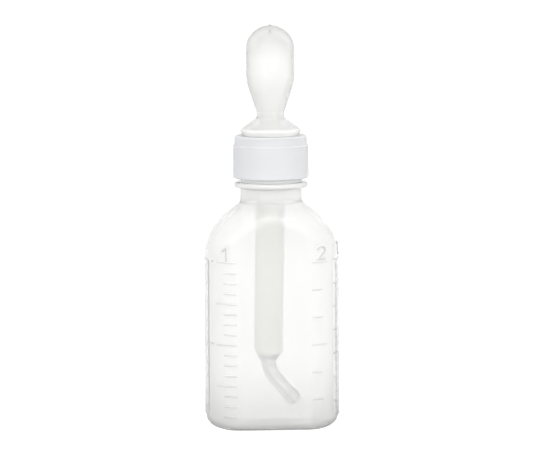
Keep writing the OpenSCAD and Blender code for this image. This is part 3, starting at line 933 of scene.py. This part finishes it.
def vector_node(tree, operation, vector, other=None):
    """A node for one operation on a vector output, with a fixed second vector if any."""
    node = tree.nodes.new("ShaderNodeVectorMath")
    node.operation = operation
    tree.links.new(vector, node.inputs[0])
    if other is not None:
        node.inputs[1].default_value = other
    return node


def scaled(tree, colour, share):
    """The colour multiplied by share."""
    node = vector_node(tree, "SCALE", colour)
    tree.links.new(share, node.inputs["Scale"])
    return node.outputs["Vector"]


def paint_outline_shade(tree, colour, start, end, share):
    """The colour, down to a share of itself where the surface turns away from the eye: painted shade at the
    outlines.
    """
    layer = tree.nodes.new("ShaderNodeLayerWeight")
    set_inputs(layer, Blend=0.5)
    return scaled(tree, colour, smooth_node(tree, layer.outputs["Facing"], start, end, 1.0, share))


def bump(tree, height, strength, distance):
    """A surface normal from a height map; distance is the bumps' height in metres."""
    node = tree.nodes.new("ShaderNodeBump")
    set_inputs(node, Strength=strength, Distance=distance)
    tree.links.new(height, node.inputs["Height"])
    return node.outputs["Normal"]


def absorb(tree, per_metre, colour):
    """Darkens light by the length of its path inside the wall."""
    volume = tree.nodes.new("ShaderNodeVolumeAbsorption")
    share = 1 - sum(colour) / 3
    set_inputs(volume, Density=per_metre / share, Color=(*colour, 1))
    tree.links.new(volume.outputs["Volume"], tree.nodes["Material Output"].inputs["Volume"])


def bottle_material():
    """Blown polyethylene: clear to milky, with faint upright flow lines."""
    mat, tree, shader = new_material("blown_polyethylene")
    at = object_coordinates(tree)
    flow = noise(tree, at, 260, (1, 1, 0.12), 2.0)
    cloud = noise(tree, at, 90)
    painted_shade = tree.nodes.new("ShaderNodeAttribute")
    painted_shade.attribute_name = "painted_shade"

    neck = by_height(tree, at, RING_Z + 0.5, RING_Z + 1.5, NECK_CLEAR, FINISH_CLEAR)
    above_body = by_height(tree, at, NECK_ROOT_Z - 2, NECK_ROOT_Z + 3, 0.0, 1.0)
    coat = by_height(tree, at, NECK_ROOT_Z, NECK_ROOT_Z + 3, 0.0, NECK_COAT)

    # painted shade: darker on the shoulder
    high = by_height(tree, at, SHOULDER_Z - 6, SHOULDER_Z + 8, 1.0, SHOULDER_PAINTED_SHADE)
    # painted shade: darker near the base
    low = by_height(tree, at, 1.0, 4.2, BASE_PAINTED_SHADE, 1.0)
    # painted shade on the raised lines and numerals
    lines = ramp(tree, painted_shade.outputs["Fac"], 1.0, PAINTED_LINE_SHADE)
    colour = colour_ramp(tree, cloud, *BODY_COLOURS)
    colour = scaled(tree, colour, combined(tree, "MULTIPLY", high, low, lines))

    set_inputs(shader, IOR=BODY_IOR, Coat_Roughness=0.05)
    for name, value in (
        # painted shade at the outlines
        ("Base Color", paint_outline_shade(tree, colour, 0.3, 1.0, BODY_OUTLINE_SHADE)),
        ("Transmission Weight", ramp(tree, above_body, BODY_CLEAR, neck)),
        ("Coat Weight", coat),
        ("Roughness", ramp(tree, flow, 0.0, 0.025)),
        ("Normal", bump(tree, flow, 0.04, 0.0002)),
    ):
        tree.links.new(value, shader.inputs[name])
    absorb(tree, BODY_ABSORB, BODY_WALL_COLOUR)
    return mat


def bulb_material():
    """Clear soft elastomer, faintly warm, slightly cloudy."""
    mat, tree, shader = new_material("clear_elastomer")
    at = object_coordinates(tree)
    cloud = noise(tree, at, 140)

    skirt_clear = by_height(tree, at, RIM_LOW_Z, RIM_HIGH_Z, RIM_CLEAR, SKIRT_CLEAR)
    above_skirt = by_height(tree, at, BULB_NECK_Z - 2, BULB_NECK_Z + 4, 0.0, 1.0)
    coat = by_height(tree, at, BULB_NECK_Z - 2, BULB_NECK_Z + 1, SKIRT_COAT, BELLY_COAT)

    pip_at = (0, 0, (BULB_TOP - PIP_DEPTH) * MM)
    from_pip = vector_node(tree, "DISTANCE", at, pip_at).outputs["Value"]
    dome = by_height(tree, at, 115.0, BULB_TOP + 1, 1.0, DOME_TINT)
    skirt = by_height(tree, at, BULB_NECK_Z - 3, BULB_NECK_Z, SKIRT_TINT, 1.0)
    # painted highlight on the skirt's rim
    rim = by_height(tree, at, RIM_LOW_Z, RIM_HIGH_Z, RIM_PAINTED_HIGHLIGHT, 1.0)
    # painted shade on the pip
    pip = smooth_node(tree, from_pip, 0.5 * MM, 1.1 * MM, PIP_PAINTED_SHADE, 1.0)
    # painted shade at the outlines, less on the skirt than on the belly
    edge = by_height(tree, at, BULB_NECK_Z - 2, BULB_NECK_Z + 1, SKIRT_OUTLINE_SHADE, BULB_OUTLINE_SHADE)
    colour = colour_ramp(tree, cloud, *BULB_COLOURS)
    colour = scaled(tree, colour, combined(tree, "MULTIPLY", dome, skirt, rim, pip))

    set_inputs(shader, IOR=BULB_IOR, Coat_Roughness=0.1)
    for name, value in (
        ("Base Color", paint_outline_shade(tree, colour, 0.25, 0.92, edge)),
        ("Transmission Weight", ramp(tree, above_skirt, skirt_clear, BULB_CLEAR)),
        ("Coat Weight", coat),
        ("Roughness", ramp(tree, cloud, 0.1, 0.18)),
        ("Normal", bump(tree, cloud, 0.1, 0.0002)),
    ):
        tree.links.new(value, shader.inputs[name])
    absorb(tree, BULB_ABSORB, BULB_WALL_COLOUR)
    return mat


def tube_material():
    """Milky moulded polyethylene above, clear and greyer in the thin bent tip."""
    mat, tree, shader = new_material("milky_polyethylene")
    at = object_coordinates(tree)
    cloud = noise(tree, at, 200, (1, 1, 0.3))
    low_z, high_z = TUBE_END - 0.9, TUBE_END - 0.2

    milky = colour_ramp(tree, cloud, *TUBE_COLOURS)
    clear = colour_ramp(tree, cloud, *TIP_COLOURS)
    tint = by_height(tree, at, BALL_Z + 1.2, BALL_Z + 2.4, BALL_TINT, TIP_TINT)
    # painted shade at the outlines, strongest on the clear tip
    tube_colour = paint_outline_shade(tree, milky, 0.5, 0.95, TUBE_OUTLINE_SHADE)
    tip_colour = paint_outline_shade(tree, scaled(tree, clear, tint), 0.08, 0.6, TIP_OUTLINE_SHADE)
    above_tip = by_height(tree, at, low_z, high_z, 0.0, 1.0)
    haze = by_height(tree, at, low_z, high_z, 0.02, 0.2)

    set_inputs(shader, IOR=TUBE_IOR)
    for name, value in (
        ("Base Color", colour_ramp(tree, above_tip, tip_colour, tube_colour)),
        ("Transmission Weight", by_height(tree, at, low_z, high_z, TIP_CLEAR, TUBE_CLEAR)),
        ("Roughness", combined(tree, "ADD", ramp(tree, cloud, 0.0, 0.06), haze)),
        ("Normal", bump(tree, cloud, 0.06, 0.0002)),
    ):
        tree.links.new(value, shader.inputs[name])
    return mat


def cap_material():
    """White polypropylene, satin, with a fine moulded grain."""
    mat, tree, shader = new_material("white_polypropylene")
    at = object_coordinates(tree)
    grain = noise(tree, at, 1500, detail=4.0)
    tone = noise(tree, at, 60)

    set_inputs(shader, IOR=CAP_IOR, Transmission_Weight=CAP_CLEAR)
    for name, value in (
        ("Base Color", colour_ramp(tree, tone, *CAP_COLOURS)),
        ("Roughness", ramp(tree, grain, 0.42, 0.58)),
        ("Normal", bump(tree, grain, 0.12, 0.0001)),
    ):
        tree.links.new(value, shader.inputs[name])
    return mat


def dress(obj, material, node, body=None):
    """Gives a piece its material, hides the CAD node that it stands in for, and hangs it on the body that it
    rides on, if one is given.
    """
    obj.data.materials.append(material)
    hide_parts(node)
    if body:
        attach(obj, body)


# ---------------------------------------------------------------- stage


def studio_light(tree, direction):
    """Brightness of the studio in a direction: white behind the object, dimmer at its
    sides and above, and bright again on the camera's side."""
    toward = vector_node(tree, "DOT_PRODUCT", direction, Vector(BRIGHT_WAY).normalized())
    along = toward.outputs["Value"]
    back = smooth_node(tree, along, 0.6, 0.95, SIDE_LIGHT, BACK_LIGHT)
    front = smooth_node(tree, along, -0.9, -0.1, FRONT_LIGHT - SIDE_LIGHT, 0.0)
    return math_node(tree, "ADD", back, front)


def seen_white(tree, light):
    """The same light, but never below white where the camera looks at it directly."""
    seen = tree.nodes.new("ShaderNodeLightPath").outputs["Is Camera Ray"]
    return math_node(tree, "MAXIMUM", light, math_node(tree, "MULTIPLY", seen, SEEN_LIGHT))


def build_floor():
    """A floor that glows like the studio round it, dimmer close in front of the bottle."""
    half = 3.0
    corners = [(-half, -half, 0), (half, -half, 0), (half, half, 0), (-half, half, 0)]
    mesh = bpy.data.meshes.new("studio_floor")
    mesh.from_pydata(corners, [], [(0, 1, 2, 3)])
    floor = bpy.data.objects.new("studio_floor", mesh)
    bpy.context.scene.collection.objects.link(floor)
    mat, tree, shader = new_material("pale_floor")
    set_inputs(shader, Roughness=0.9, Specular_IOR_Level=0.0)
    set_inputs(shader, Base_Color=(0.08, 0.08, 0.08, 1), Emission_Color=(1, 1, 1, 1))
    at = object_coordinates(tree)
    split = tree.nodes.new("ShaderNodeSeparateXYZ")
    tree.links.new(at, split.inputs[0])
    x, y = split.outputs["X"], split.outputs["Y"]
    aside = math_node(tree, "ABSOLUTE", x)
    behind = smooth_node(tree, y, -0.02, 0.13, NEAR_FLOOR, 1.0)
    before = smooth_node(tree, y, -0.8, -0.25, 1.0, NEAR_FLOOR)
    beside = smooth_node(tree, aside, 0.04, 0.16, NEAR_FLOOR, 1.0)
    near = combined(tree, "MAXIMUM", behind, before, beside)
    way = vector_node(tree, "NORMALIZE", at).outputs["Vector"]
    light = math_node(tree, "MULTIPLY", studio_light(tree, way), near)
    tree.links.new(seen_white(tree, light), shader.inputs["Emission Strength"])
    floor.data.materials.append(mat)


def build_world():
    """The studio round the object, as light from every direction."""
    world = bpy.data.worlds.new("studio")
    bpy.context.scene.world = world
    world.use_nodes = True
    tree = world.node_tree
    background = tree.nodes["Background"]
    way = tree.nodes.new("ShaderNodeTexCoord").outputs["Generated"]
    tree.links.new(seen_white(tree, studio_light(tree, way)), background.inputs["Strength"])
    set_inputs(background, Color=(1, 1, 1, 1))


# Soft boxes: name, place, the point they aim at, width and height, power in watts
SOFT_BOXES = [
    ("overhead", (0.0, -0.35, 0.85), (0, 0, 0.03), (0.9, 0.4), 3.6),
    ("front_strip", (0.0, -1.06, 0.29), (0, 0, 0.09), (1.4, 0.1), 2.3),
    ("left_strip", (-0.60, -0.80, 0.30), (0, 0, 0.09), (0.12, 0.6), 0.6),
    ("right_strip", (0.44, -0.90, 0.30), (0, 0, 0.09), (0.12, 0.6), 1.3),
]


def build_soft_boxes():
    """The area lights that draw highlights on the plastics."""
    for name, at, target, size, power in SOFT_BOXES:
        data = bpy.data.lights.new(name, "AREA")
        data.shape = "RECTANGLE"
        data.size, data.size_y = size
        data.energy = power
        light = bpy.data.objects.new(name, data)
        light.location = at
        aim = (Vector(target) - Vector(at)).to_track_quat("-Z", "Y")
        light.rotation_euler = aim.to_euler()
        bpy.context.scene.collection.objects.link(light)


def build_camera():
    """Long lens, a little above the object and a few degrees to its left."""
    azimuth = math.radians(-3.0)
    distance = 1.037
    height = 0.183
    roll = math.radians(-0.36)
    aim = Vector((0.0, 0.0, 0.0633))
    data = bpy.data.cameras.new("camera")
    data.lens = 221.3
    data.sensor_width = 36.0
    data.shift_x = -0.0021
    data.clip_end = 20.0
    camera = bpy.data.objects.new("camera", data)
    camera.location = (math.sin(azimuth) * distance, -math.cos(azimuth) * distance, height)
    turn = (aim - camera.location).to_track_quat("-Z", "Y")
    camera.rotation_euler = (turn @ Quaternion((0, 0, 1), roll)).to_euler()
    bpy.context.scene.collection.objects.link(camera)
    bpy.context.scene.camera = camera


def set_view():
    """Plain colours, and enough light bounces for walls seen through walls."""
    scene = bpy.context.scene
    scene.view_settings.view_transform = "Standard"
    scene.cycles.max_bounces = 32
    scene.cycles.diffuse_bounces = 16
    scene.cycles.glossy_bounces = 16
    scene.cycles.transmission_bounces = 24
    scene.cycles.transparent_max_bounces = 24


# ---------------------------------------------------------------- assembly

bottle = build_bottle()
cap = build_cap()
tube = build_pipette()
bulb = build_bulb()

dress(bottle, bottle_material(), "bottle", "bottle")
dress(cap, cap_material(), "screw_cap", "cap")
dress(tube, tube_material(), "pipette", "dropper")
dress(bulb, bulb_material(), "bulb")
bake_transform(bulb, "dropper", "bulb", start=(0, 0, 0.095), end=(0, 0, 0.12))
squeeze_weights(bulb)

build_floor()
build_world()
build_soft_boxes()
build_camera()
set_view()
